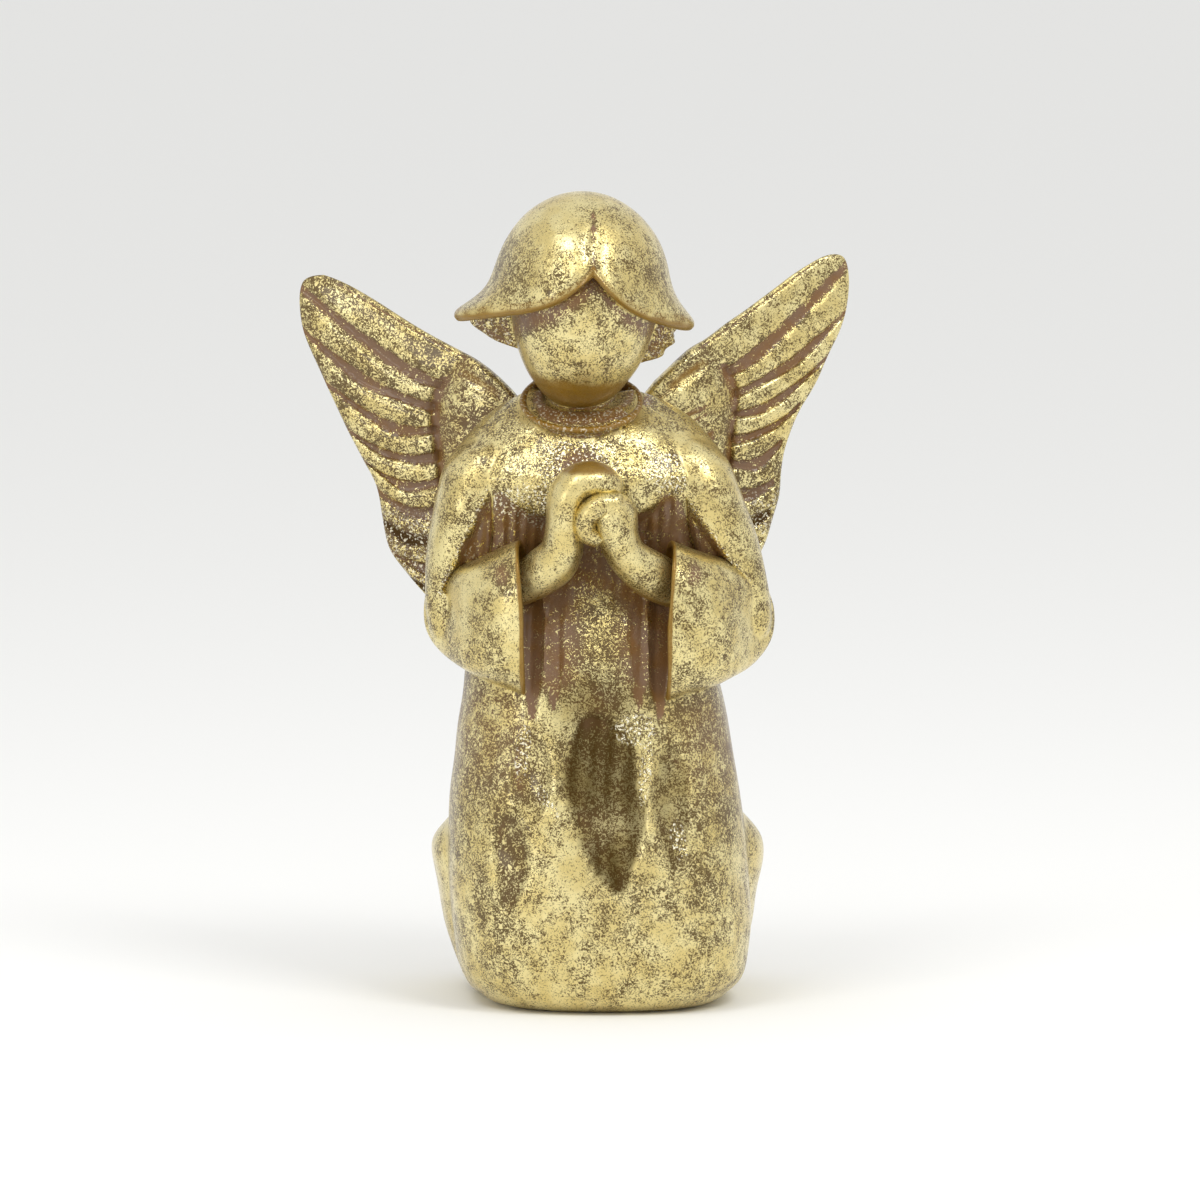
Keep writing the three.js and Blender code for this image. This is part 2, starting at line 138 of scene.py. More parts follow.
FINISH = {
    # The ground amount also carries painted shadow: the brown below and under the hair's rim.
    "ground": "how bare the brown ground is",
    "varnish": "how much amber varnish has pooled",
    # The wrinkle amount also sets where near-white glints are painted into the colour: painted highlights.
    "crinkle": "how wrinkled the leaf is",
    # The fourth amount is a painted dark reflection over the leaf, in the deepest hollow and the low
    # feathers.
    "glaze": "how dark the old glaze over the leaf is",
    "soft": "how far a join with the next form was blended by the carver",
}


def finish(points, **amounts):
    """The five amounts spread over a grid of points. One that isn't named is 0."""
    shape = points.shape[:-1]
    return np.stack([np.broadcast_to(np.asarray(amounts.get(kind, 0), float), shape) for kind in FINISH], -1)


def ring_points(x, y, z):
    """Three arrays joined to points, after they are spread to one shape."""
    return np.stack(np.broadcast_arrays(x, y, z), -1)


def closed_shell(points, first=None, last=None, **amounts):
    """Triangles over a grid whose columns close into rings and whose end rings close on points."""
    rows, sides = points.shape[:2]
    ends = [points[0].mean(0) if first is None else first, points[-1].mean(0) if last is None else last]
    grid = np.arange(rows * sides).reshape(rows, sides)
    here, up = grid[:-1].ravel(), grid[1:].ravel()
    beside, across = np.roll(grid[:-1], -1, 1).ravel(), np.roll(grid[1:], -1, 1).ravel()
    low, high = rows * sides, rows * sides + 1
    ring = np.arange(sides)
    turned = np.roll(ring, -1)
    faces = np.concatenate([
        np.stack([here, beside, across], 1),
        np.stack([here, across, up], 1),
        np.stack([np.full(sides, low), turned, ring], 1),
        np.stack([np.full(sides, high), grid[-1][ring], grid[-1][turned]], 1),
    ])
    corners = np.concatenate([points.reshape(-1, 3), ends])
    values = finish(points, **amounts)
    at_ends = [values[0].mean(0), values[-1].mean(0)]
    values = np.concatenate([values.reshape(-1, len(FINISH)), at_ends])
    return welded(corners, values, faces)


def welded(corners, values, faces):
    """Corners that share a place become one, faces without area go, and the shell is made to face out."""
    _, index, inverse = np.unique(np.round(corners, 5), axis=0, return_index=True, return_inverse=True)
    corners, values, faces = corners[index], values[index], inverse.ravel()[faces]
    a, b, c = faces.T
    faces = faces[(a != b) & (b != c) & (c != a)]
    a, b, c = corners[faces].transpose(1, 0, 2)
    volume = np.einsum("ij,ij->i", a, np.cross(b, c)).sum()
    return corners, values, faces if volume > 0 else faces[:, ::-1]


def shell_object(name, shell):
    """A mesh object made of a shell, in metres, with its finish in attributes."""
    corners, values, faces = shell
    mesh = bpy.data.meshes.new(name)
    mesh.from_pydata(corners * METRES, [], faces)
    for column, kind in enumerate(FINISH):
        layer = mesh.attributes.new(kind, "FLOAT", "POINT")
        layer.data.foreach_set("value", values[:, column].astype(np.float32))
    made = bpy.data.objects.new(name, mesh)
    bpy.context.scene.collection.objects.link(made)
    return made


# Robe, chest and shoulders

COLLAR_TILT = np.radians(26)
robe_rows = through([
    [0, 1.2, 22, 20, 34],
    [1.6, 1.2, 26.4, 25, 38],
    [6.5, 1.2, 31, 28.5, 41],
    [15, 0.9, 32.8, 30.5, 40.5],
    [28, 0.2, 33.2, 31, 37.5],
    [42, -0.4, 32.4, 30, 31.5],
    [56, -0.9, 30.6, 28, 26],
    [72, -1.4, 28, 25, 21.5],
    [84, -1.8, 26, 21.6, 19],
    [93, -2, 25, 17.5, 18],
    [103, -2.1, 25.5, 14.6, 17.5],
    [111, -2.1, 30, 16.4, 17.5],
    [118, -2.2, 31, 17.6, 17.5],
    [126.5, -2.3, 26, 16.4, 16],
    [132, -2.6, 19.4, 14, 14],
    [135.4, -3.4, 11, 9, 9],
])
ROBE_BOXINESS = 0.8
FOOT_VARNISH = 2.6

# Leaf-shaped hollows: middle across, middle height, half width, half height, depth, slant, ground, painted
# dark reflection
HOLLOWS = [
    (1.8, 47.2, 9.6, 19.6, 2.4, 0.12, 0.4, 1),
    (-14.6, 52, 4.4, 10, 1.7, 0.02, 0.3, 0.2),
    (-19, 34, 4, 11.5, 1.2, -0.04, 0.4, 0.3),
    (16.2, 46, 4.4, 13.5, 1.7, 0.05, 0.36, 0.5),
    (-14.4, 80, 2.6, 15, 1.4, 0, 0.84, 0),
    (-9.6, 80, 2, 13, 0.8, 0, 0.78, 0),
    (9, 80, 2, 13, 0.8, 0, 0.78, 0),
    (13.6, 80, 2.6, 15, 1.4, 0, 0.84, 0),
]


def leaf_hollow(x, z, cx, cz, wide, tall, deep, slant):
    """Depth and share inside of a hollow: the root of 1 - r2 across it, and a rounded taper along it."""
    along = (z / GROW - cz) / tall
    taper = np.sqrt(np.clip(np.cos(np.clip(along, -1, 1) * np.pi / 2), 0, 1)) * (1 + 0.22 * along)
    wobble = wide * (0.05 * np.sin(0.36 * z + cx) + 0.015 * np.sin(1.1 * z + 2 * cx))
    across = (x / GROW - cx + slant * tall * along + wobble) / np.maximum(wide * taper, 1e-3)
    inside = np.clip(1 - across**2, 0, 1) * (np.abs(along) < 1)
    return GROW * deep * taper * np.sqrt(inside), smooth(inside, 0, 0.5)


# The hollows between each upper arm, its sleeve and the chest: their corners in front view
ARM_HOLLOWS = {
    -1: [(-23.5, 114.5), (-34.6, 91.4), (-14.5, 90), (-7, 106)],
    1: [(17, 115), (32.4, 93.6), (13.5, 90), (5, 106)],
}
HOLLOW_TOP = (-15.4, 116)
HOLLOW_SLOPE = 0.32


def arm_hollow(x, z, side):
    """How far a place in front view lies inside one of the hollows: the least distance from its sides."""
    corners = np.array(ARM_HOLLOWS[side], float) * GROW
    following = np.roll(corners, -1, 0)
    least = np.full(np.shape(x), 1e9)
    for (ax, az), (bx, bz) in zip(corners, following):
        length = np.hypot(bx - ax, bz - az)
        away = ((bx - ax) * (z - az) - (bz - az) * (x - ax)) / length
        least = np.minimum(least, -side * away)
    return least


def sunk(points, side):
    """Points in front of an arm hollow's floor set back to it, and how far inside they lie."""
    x, y, z = np.moveaxis(points, -1, 0)
    inside = arm_hollow(x, z, side)
    floor = GROW * (HOLLOW_TOP[0] + HOLLOW_SLOPE * (HOLLOW_TOP[1] - z / GROW))
    strokes = 0.4 * np.abs(np.sin(x * 1.05 + 0.12 * z)) + 0.25 * np.sin(2.7 * x - 0.2 * z)
    share = smooth(inside, -0.3, 1.6)
    y = np.where(y < floor, mix(y, floor + strokes * share, share), y)
    return ring_points(x, y, z), smooth(inside + 0.8 * np.sin(0.9 * x + 0.4 * z), -2.4, 2)


# Crinkled patches where near-white glints are painted in as highlights: middle across, middle height, half
# width, half height, slant
SPARKLES = [
    (8, 63, 5, 3.6, 0),
    (10.4, 54, 1.4, 8, 0.1),
    (-16.4, 58, 1.8, 6.5, 0.1),
    (-11.6, 48, 1.5, 5, -0.7),
    (17.6, 39, 1.8, 5, -0.2),
    (-14, 112, 11, 5, 0.4),
    (16, 118, 6, 4.5, 0),
    (-4, 120, 9, 7, 0),
]


def sparkle(x, z):
    """How far a place in front view lies in a crinkled patch: the highest bell curve, cut flat."""
    most = np.zeros(np.shape(x))
    for cx, cz, wide, tall, slant in SPARKLES:
        off = (x / GROW - cx - slant * (z / GROW - cz)) / wide
        most = np.maximum(most, np.exp(-(off**2) - ((z / GROW - cz) / tall) ** 2))
    return np.minimum(1.8 * most, 1)


def robe():
    """Boxy rings up the height, with hollows pressed into the front and the shoulders sloped down ahead."""
    t = shares_by_height(robe_rows, 144)[:, None]
    a = angles(146, 44)
    z, middle, wide, ahead, behind = robe_rows(t)
    x = middle + wide * boxy(np.cos(a), ROBE_BOXINESS)
    y = ring_depth(a, ahead, behind, ROBE_BOXINESS)
    in_collar = smooth(z, 133 * GROW, 134.3 * GROW)
    z = z + np.tan(COLLAR_TILT) * smooth(z, 113 * GROW, 131 * GROW) * np.minimum(y, 0)
    front = (np.sin(a) < 0) + 0 * x
    depth = np.zeros_like(y)
    middle_band = hill(z, 62, 26) * (0.4 + 0.6 * smooth(np.abs(x - 1.8), 8, 22))
    ground = 0.2 + 0.26 * middle_band + 0.08 * smooth(z, 100, 108)
    glaze = np.zeros_like(y)
    for *shape, brown, dark in HOLLOWS:
        deep, inside = leaf_hollow(x, z, *shape)
        depth = np.maximum(depth, deep * front)
        ground = np.maximum(ground, brown * inside * front)
        glaze = np.maximum(glaze, dark * inside * front)
    y = y + depth
    points = ring_points(x, y, z)

    # Below the hands the ground is bare but for a patch of leaf down the middle
    bare = np.exp(-((x / (17 * GROW)) ** 6)) * front * smooth(z, 62, 76) * (1 - smooth(z, 106, 114))
    kept = hill(x, 0.5, 7.5) * (1 - smooth(z, 88, 99))
    ground = np.maximum(ground, bare * (0.74 - 0.38 * kept))
    scraped = np.maximum(0, np.sin(2.1 * x + 0.8 * np.sin(0.11 * z)))
    points[..., 1] += 0.35 * scraped * bare * (1 - kept)
    below_collar = hill(x, -4, 9) * hill(z, 120, 6) * front
    ground = np.maximum(ground, np.maximum(0.66 * below_collar, 0.72 * in_collar))
    # Painted dark reflection in the middle hollow: streaked, lighter low down in it, and reaching just above
    # it.
    streaks = 0.5 + 0.5 * np.sin(1.5 * x + 1.2 * np.sin(0.16 * z) + 0.8 * np.sin(0.5 * x))
    glaze = glaze * (1 - 0.24 * streaks) * (1 - 0.5 * hill(z, 42, 4) * hill(x, 2, 6))
    above = hill(z, 69, 8) * hill(x, 0, 10) * front
    glaze = np.maximum(glaze, 0.62 * above)
    ground = np.maximum(ground, 0.5 * above)
    varnish = 0.5 * (1 - smooth(z, 0, FOOT_VARNISH))
    crinkle = np.maximum(0.2 + 0.3 * smooth(z, 100, 112) + 0.4 * in_collar, sparkle(x, z) * front)
    crinkle = np.maximum(crinkle, np.maximum(below_collar, 0.6 * bare))
    apart = np.ones_like(x)
    for side in (-1, 1):
        points, share = sunk(points, side)
        ground = np.maximum(ground, 0.74 * share * front)
        apart = apart * (1 - share * front)
        wall = hill(arm_hollow(x, z, side), -0.4, 1.1) * smooth(side * x, 18, 26)
        crinkle = np.maximum(crinkle, np.maximum(wall, 0.6 * share) * front)
    soft = smooth(z, 96, 106) * smooth(np.abs(x), 12, 18) * apart + 0.5 * (1 - front) * hill(z, 42, 12)
    return closed_shell(points, ground=ground, varnish=varnish, crinkle=crinkle, glaze=glaze, soft=soft)


# The hem spread over the lower legs behind

TRAIN_MIDDLE = 14
TRAIN_BOXINESS = 0.7
train_rows = through([
    [0, 23, 20, 22],
    [1.6, 28, 24, 26.5],
    [6.5, 30.8, 26, 30],
    [15, 33.8, 27, 32],
    [24, 35.6, 27, 32.5],
    [32, 37, 27, 32],
    [36, 36.2, 26, 30.5],
    [40, 32, 23, 27],
    [44, 24, 19, 21],
    [47, 12, 12, 13],
])


def train():
    """Boxy rings up the height, which fall away to the back, with shallow gouges behind."""
    t = shares_by_height(train_rows, 44)[:, None]
    a = even_angles(96)
    z, wide, ahead, behind = train_rows(t)
    y = ring_depth(a, ahead, behind, TRAIN_BOXINESS)
    x = wide * boxy(np.cos(a), TRAIN_BOXINESS)
    flutes = 0.5 * np.maximum(0, np.sin(a)) * np.abs(np.sin(9 * a)) * hill(z, 20, 16)
    shrink = 1 - flutes / 36
    height = z - 0.16 * y * smooth(z, 6 * GROW, 40 * GROW)
    points = ring_points(x * shrink, GROW * TRAIN_MIDDLE + y * shrink, height)
    varnish = 0.5 * (1 - smooth(z, 0, FOOT_VARNISH))
    soft = 0.5 * smooth(height, 30, 40)
    return closed_shell(points, ground=0.2 + 0.3 * flutes, varnish=varnish, crinkle=0.2, soft=soft)


# Upper arms and bell sleeves

arm_rows = {
    -1: through([
        [-20, -2, 126, 5, 6],
        [-24, -2.5, 121, 9, 10],
        [-27.6, -3, 112, 8.2, 12],
        [-30, -3, 101, 7.6, 10.6],
        [-30.6, -3, 91, 7.6, 8.4],
        [-31, -3, 82, 6, 6.4],
        [-31.4, -3, 77.6, 2.5, 4],
    ]),
    1: through([
        [15.5, -2, 126, 5, 6],
        [19.6, -2.5, 121, 9, 10],
        [23.8, -3, 112, 8.2, 12],
        [28.2, -3, 101, 7.6, 10.6],
        [30.2, -3, 91, 7.6, 8.4],
        [31.8, -3, 83, 6.4, 6.4],
        [32.2, -3, 78.6, 2.5, 4],
    ]),
}


def arm(side):
    """Boxy rings down the upper arm, set back where the hollow beside the chest cuts in."""
    t = np.linspace(0, 1, 72)[:, None]
    a = angles(66, 30)
    x, y, z, wide, deep = arm_rows[side](t)
    points = ring_points(x + wide * boxy(np.cos(a), 0.9), y + deep * boxy(np.sin(a), 0.85), z)
    points, share = sunk(points, side)
    wall = hill(arm_hollow(points[..., 0], points[..., 2], side), -0.4, 1.1) * (points[..., 1] < 0)
    ground = np.maximum(0.24, 0.74 * share)
    crinkle = np.maximum(0.3, np.maximum(wall, 0.6 * share))
    return closed_shell(points, ground=ground, crinkle=crinkle, soft=1 - smooth(share, 0, 0.5))


sleeve_rows = {
    -1: through([
        [36.2, -5, 86.6, 2.6, 3],
        [35, -7.4, 86.2, 6.4, 7.4],
        [32, -10.6, 86, 9.8, 10.4],
        [27.2, -13.6, 86.2, 12.4, 11.6],
        [21.4, -16.4, 86.5, 14.9, 11.6],
        [15.8, -18, 86.6, 17.2, 11.2],
    ]),
    1: through([
        [36.8, -5, 85, 2.6, 3],
        [35.6, -7.4, 84.8, 6.6, 7.4],
        [32.6, -10.6, 84.8, 10.2, 10.4],
        [27.6, -13.6, 85.4, 13.2, 11.6],
        [21, -16.4, 85.8, 15.4, 11.6],
        [14.8, -18, 86, 17.6, 11.2],
    ]),
}
SLEEVE_TURN = (35, -5)
SLEEVE_BOXINESS = 0.75
OPENING_LEAN = 1.6
SLEEVE_HOLLOW = 4


def sleeve(side):
    """Boxy sections that turn as they go out, then rings that roll over the opening's rim and go inside."""
    outer = np.linspace(0, 1, 56)
    rim = np.linspace(0, 1, 9)[1:]
    inner = np.linspace(0, 1, 12)[1:]
    t = np.concatenate([outer, np.ones(len(rim) + len(inner))])[:, None]
    narrowed = 1 - 0.09 * smooth(rim, 0, 1)
    shrink = np.concatenate([np.ones(len(outer)), narrowed, mix(0.91, 0.6, inner)])[:, None]
    bead = 0.5 * np.sin(np.pi * rim)
    inset = np.concatenate([np.zeros(len(outer)), -bead, mix(0.1, SLEEVE_HOLLOW, inner)])[:, None]
    a = even_angles(84)
    x, y, z, tall, deep = sleeve_rows[side](t)
    turn = np.radians(mix(SLEEVE_TURN[0], SLEEVE_TURN[1], t))
    out = deep * shrink * boxy(np.cos(a), SLEEVE_BOXINESS)
    up = tall * shrink * boxy(np.sin(a), SLEEVE_BOXINESS)
    lean = GROW * OPENING_LEAN * t**3 * np.maximum(0, np.sin(a))
    across = x + inset + lean - out * np.sin(turn)
    points = ring_points(side * across, y - out * np.cos(turn), z + up)
    deepness = np.concatenate([np.zeros(len(outer)), np.zeros(len(rim)), inner])[:, None]
    edge = np.concatenate([smooth(outer, 0.93, 0.99), np.ones(len(rim)), 1 - inner])[:, None]
    chips = hill(points[..., 0], side * 21, 2.2) * hill(points[..., 2], 97 * GROW, 3) * (out > 0)
    ground = 0.2 + 0.7 * smooth(deepness, 0, 0.2) + 0.4 * chips + 0 * a
    crinkle = 0.12 + 0.4 * smooth(deepness, 0, 0.3)
    soft = 1 - smooth(t, 0.25, 0.6)
    return closed_shell(points, ground=ground, varnish=edge, crinkle=crinkle, soft=soft)


# Folded hands: the one on the viewer's left reaches over the other, whose fingers curl under it

HANDS = {
    "upper_hand": ([
        [-24, -14, 90.5, 4.2, 5],
        [-17, -18, 94, 4.7, 6.4],
        [-11.5, -21, 97.4, 5.4, 7],
        [-7.8, -23, 102, 4.9, 7.4],
        [-7.2, -24, 108, 4.3, 7.8],
        [-6.8, -24.5, 113.5, 4.4, 7.8],
        [-4.2, -24.8, 117, 4.5, 7.4],
        [-0.4, -25, 117.6, 4.1, 6.6],
        [3.2, -25, 116.2, 2.8, 5],
        [4.8, -25, 114.8, 0.8, 2],
    ], 0.15),
    "lower_hand": ([
        [23, -14, 91, 4.6, 5],
        [16.5, -18, 93.8, 5.2, 6.4],
        [11.5, -21, 96.6, 5.5, 7],
        [6.6, -23, 100.6, 5, 7.4],
        [4.6, -24, 104.8, 4.9, 7.8],
        [3.8, -24.8, 108.6, 5.3, 8],
        [3.6, -25, 112, 4.8, 7],
        [3.4, -25, 114.6, 2, 4],
    ], 0.5),
    "curled_fingers": ([
        [5.4, -29, 113, 2.2, 2.6],
        [0.6, -30, 112.6, 2.7, 3.2],
        [-2.8, -29.4, 109.8, 2.5, 3.4],
        [-2.4, -28.6, 106.4, 2.4, 3.2],
        [0.8, -28, 104.6, 1.6, 2.4],
    ], 0.5),
}


def limb(rows, soft):
    """Oval rings square in front view to a curve through rows of place, radius and radius in depth."""
    at = through(rows)
    t = np.linspace(0, 1, 72)[:, None]
    a = even_angles(40)
    x, y, z, radius, deep = at(t)
    before, after = at(t - 0.02), at(t + 0.02)
    run, rise = after[0] - before[0], after[2] - before[2]
    length = np.hypot(run, rise)
    out = radius * np.cos(a)
    points = ring_points(x + out * rise / length, y - deep * np.sin(a), z - out * run / length)
    top = smooth(points[..., 2], 117.5 * GROW, 120.5 * GROW)
    under = smooth(np.cos(a) * run / length, 0.5, 0.8) * (points[..., 2] < 104 * GROW)
    return closed_shell(points, ground=0.2, varnish=np.maximum(top, under), crinkle=0.3, soft=soft)


# Neck and rolled collar, tipped forwards

NECK_BASE = np.array([-3.6, -3.2, 132.5]) * GROW
COLLAR_RADIUS, COLLAR_HEIGHT = 13.2, 7
NECK_RADIUS, NECK_BACK, NECK_HALF = 7.6, 2.6, 7
BAND = [
    [-0.9, 0.8], [-0.4, 0.99], [-0.1, 0.98], [0.04, 1.03], [0.14, 1.02],
    [0.15, 0.95], [0.04, 0.9], [-0.3, 0.8], [-0.5, 0.66],
]


def turned(points, tilt, roll):
    """Points turned about X by the tilt after they are turned about Y by the roll, in radians."""
    turn = np.array(Matrix.Rotation(tilt, 3, "X") @ Matrix.Rotation(roll, 3, "Y"))
    return points @ turn.T


def collar():
    """A profile of height and radius carried round the neck, with a rounded rim and a hollow inside."""
    t = np.linspace(0, 1, 44)
    up, out = through(BAND, 1)(t)
    a = even_angles(104)
    radius = COLLAR_RADIUS * out[:, None]
    level = ring_points(radius * np.cos(a), 0.95 * radius * np.sin(a), COLLAR_HEIGHT * up[:, None])
    points = turned(level, COLLAR_TILT, 0) + NECK_BASE
    inside = smooth(t, 0.72, 0.86)[:, None]
    rim = (smooth(t, 0.3, 0.42) * (1 - smooth(t, 0.62, 0.72)))[:, None]
    return closed_shell(points, ground=0.5 + 0.35 * inside, varnish=rim, crinkle=0.8)


def neck():
    """A short round column along the collar's own direction."""
    t = np.linspace(-1, 1, 20)[:, None]
    a = even_angles(72)
    x, y = NECK_RADIUS * np.cos(a), NECK_BACK + NECK_RADIUS * np.sin(a)
    level = ring_points(x, y, NECK_HALF * t) * GROW
    points = turned(level, COLLAR_TILT, 0) + NECK_BASE
    return closed_shell(points, ground=0.76, varnish=0.3, crinkle=0.9)


# Head

SKULL = np.array([-3.9, -3.4, 157]) * GROW
HEAD_TURN = (np.radians(7), np.radians(5))


def on_head(x, y, z):
    """Points given about the middle of the skull, nodded, rolled and set in their place."""
    return turned(ring_points(x, y, z), *HEAD_TURN) + SKULL


FACE_MIDDLE = (1.1, -1.4)
FACE_BOXINESS = 0.92
face_rows = through([
    [-25.2, 0.4, 0.4, 0.4],
    [-24.6, 4.2, 5.4, 5],
    [-22.2, 7.8, 9.8, 8.6],
    [-18, 11.2, 14, 11.6],
    [-12, 14, 17.2, 14],
    [-5, 15.9, 18.6, 15],
    [3, 16, 18, 15],
    [10, 12, 13, 12],
])


def face():
    """A smooth egg with no features: boxy rings up the height, its leaf turned brown below the hair's rim as
    painted shadow.
    """
    t = np.linspace(0, 1, 64)[:, None]
    a = angles(76, 28)
    z, wide, ahead, behind = face_rows(t)
    x = FACE_MIDDLE[0] * GROW + wide * boxy(np.cos(a), FACE_BOXINESS)
    y = FACE_MIDDLE[1] * GROW + ring_depth(a, ahead, behind, FACE_BOXINESS)
    points = on_head(x, y, z)
    # Brown below the hair's rim is painted shadow cast by the hair.
    shade = smooth(z - rim_height(a), -9, -0.5)
    chin = 1 - smooth(z, -19 * GROW, -14 * GROW)
    ground = 0.18 + 0.56 * shade + 0.1 * chin
    varnish = np.maximum(chin, 0.2 * shade)
    return closed_shell(points, ground=ground, varnish=varnish, crinkle=0.2 + 0.5 * shade)


PARTING = FRONT + np.radians(7)


def from_parting(a):
    """The angle from the parting, from 0 to half a turn either way."""
    return np.abs(np.arctan2(np.sin(a - PARTING), np.cos(a - PARTING)))


def rim_height(a):
    """The hair's lower rim: a peak below the parting, and a dip towards the back."""
    off = from_parting(a)
    peak = 12.4 * np.exp(-((off / 0.5) ** 1.15))
    side = (2 + 1.2 * np.maximum(0, -np.cos(a))) * smooth(off, 0.9, 1.6)
    return GROW * (peak - 3.4 - side - 6 * smooth(off, 1.9, np.pi))


def flick(a):
    """How far the hair's ends turn out, which is most at the sides."""
    off = from_parting(a)
    side = (6.1 - 0.9 * np.cos(a)) * np.exp(-(((off - 1.5) / 0.42) ** 2))
    return GROW * (1 + side + 2 * smooth(off, 2.2, 3))


DOME = {"wide": 19.5 * GROW, "ahead": 21.5 * GROW, "behind": 22 * GROW, "tall": 22.2 * GROW}
HAIR_RIM = 2.2


def hair_rings(a, z, out):
    """Points of the bell: an ellipse's width at each height, and more by the flick towards the rim."""
    level = np.sqrt(np.clip(1 - (np.maximum(z, 0) / DOME["tall"]) ** 2, 0, 1))
    wide = level + out / DOME["wide"]
    deep = np.where(np.sin(a) < 0, DOME["ahead"], DOME["behind"])
    return on_head(DOME["wide"] * wide * np.cos(a), deep * wide * np.sin(a), z)


def hair():
    """A bell from the crown to its rim, rolled under the rim and closed inside, with a combed parting."""
    a = PARTING + np.linspace(0, 2 * np.pi, 144, endpoint=False)[None, :]
    t = np.linspace(0.012, 1, 70)[:, None]
    drop = 0.35 * np.sin(t * np.pi / 2) ** 2 + 0.65 * t**1.6
    rim = rim_height(a)
    z = mix(DOME["tall"], rim, drop)
    off = from_parting(a)
    comb = hill(off, 0, 0.05) * smooth(t, 0.2, 0.45)
    valley = -0.9 * hill(off, 0, 0.13) * smooth(t, 0.25, 0.7) - 0.35 * comb
    planes = 0.35 * np.cos(3 * (a - PARTING) + 0.9) * smooth(t, 0.2, 0.5) * (1 - smooth(t, 0.8, 1))
    turned_out = flick(a) * np.exp(-((np.maximum(z - rim, 0) / (4.6 * GROW)) ** 1.6))
    outer = hair_rings(a, z, turned_out + valley + planes)
    under = [[-0.35, -0.02], [-0.7, -0.35], [-0.72, -0.85], [-0.55, -1.4], [0.6, -3.4], [1.5, -6.4]]
    up, inward = through(under, HAIR_RIM)(np.linspace(0, 1, 20)[:, None])
    share = smooth(-inward, 1.5 * HAIR_RIM, 6 * HAIR_RIM)
    inner = hair_rings(a, rim + up, flick(a) * (1 - share) + inward)
    points = np.concatenate([outer, inner])
    edge = smooth(t, 0.9, 0.97) + 0 * a
    crown = hill(off, 0, 0.08) * (hill(t, 0.36, 0.05) + hill(t, 0.5, 0.03))
    worn = 0.12 + 0.14 * smooth(t, 0.35, 0.6) + 0.5 * crown + 0.14 * comb
    # Under the rim the brown deepens inward: partly bare ground, partly painted shade under the brim.
    ground = np.concatenate([worn, 0.15 + 0.7 * share + 0 * a])
    varnish = np.concatenate([0.62 * edge, 1 - share + 0 * a])
    ends = on_head(0, 0, DOME["tall"]), on_head(0, 0, 2)
    return closed_shell(points, *ends, ground=ground, varnish=varnish, crinkle=0.34)


nape_rows = through([
    [6, 14, 10, 14],
    [0, 18, 8, 18],
    [-4, 20.4, 6.5, 19.5],
    [-8, 21.4, 5, 20],
    [-10.4, 20.4, 4, 18.6],
    [-13.6, 17, 3, 16],
    [-16, 9, 2, 10],
])


def nape():
    """The lower layer of hair: rings down to the neck, with locks as ridges round it."""
    t = np.linspace(0, 1, 44)[:, None]
    a = even_angles(112)
    z, wide, ahead, behind = nape_rows(t)
    z = z + 1.8 * GROW * smooth(-np.cos(a), 0.2, 0.9) * smooth(t, 0.3, 0.9)
    locks = np.abs(np.sin(5.5 * a + 0.16 * z + 0.9 * np.sin(0.5 * z) + 0.5))
    out = 1 - (0.14 * (1 - locks) + 0.02 * np.cos(1.7 * z)) * smooth(t, 0.1, 0.4)
    y = ring_depth(a, ahead, behind)
    lean = np.where(np.cos(a) < 0, 1.1, 1.03)
    points = on_head(wide * out * lean * np.cos(a), y * out, z)
    return closed_shell(points, ground=0.4 + 0.4 * (1 - locks), varnish=0.5, crinkle=0.8)


# Wings. Rows of points run down each wing from the leading edge to the last feather, in front view:
# where it joins the back, where the feathers start, and where their ends lie.

WINGS = {
    "left": {
        "join": [[-12, 126], [-9, 117], [-9, 104], [-10, 88]],
        "root": [[-29.5, 142.1], [-35.4, 131], [-34.6, 117], [-32.5, 101], [-29, 83]],
        "tips": [
            [-61, 160.2], [-65.8, 157], [-66, 147.2], [-61.3, 136], [-56.3, 125.5], [-52.4, 118.2],
            [-49.4, 112], [-48.2, 105], [-46.4, 98], [-42.6, 92.6], [-37, 86],
        ],
        "sag": 3,
        "closed_ends": 0,
        "worn": 0.16,
    },
    "right": {
        "join": [[5, 127], [5, 117], [6, 104], [8, 88]],
        "root": [[23, 144.8], [29.6, 134], [29, 121], [28.5, 105], [27, 88]],
        "tips": [
            [49.8, 164.4], [54.8, 162.6], [55.5, 152], [51.8, 142], [47.4, 133], [43, 125],
            [40.8, 116], [40, 109], [38, 102], [35.4, 96], [31, 88],
        ],
        "sag": 2.4,
        "closed_ends": 1,
        "worn": 0.06,
    },
}
WING_BACK, WING_CLEAR = 11, 12
WING_SWEEP = np.tan(np.radians(20))
WING_THICKNESS, WING_EDGE = 4.4, 2.2
FEATHERS = 9
BAND_AT_ROOT, BAND_AT_TIP = 0.16, 0.1
COVERT_SHARE = 0.32
COVERT_SWELL, COVERT_ARCH = 2.2, 2
TIP_DROOP = 1.6
CHANNEL = 0.42


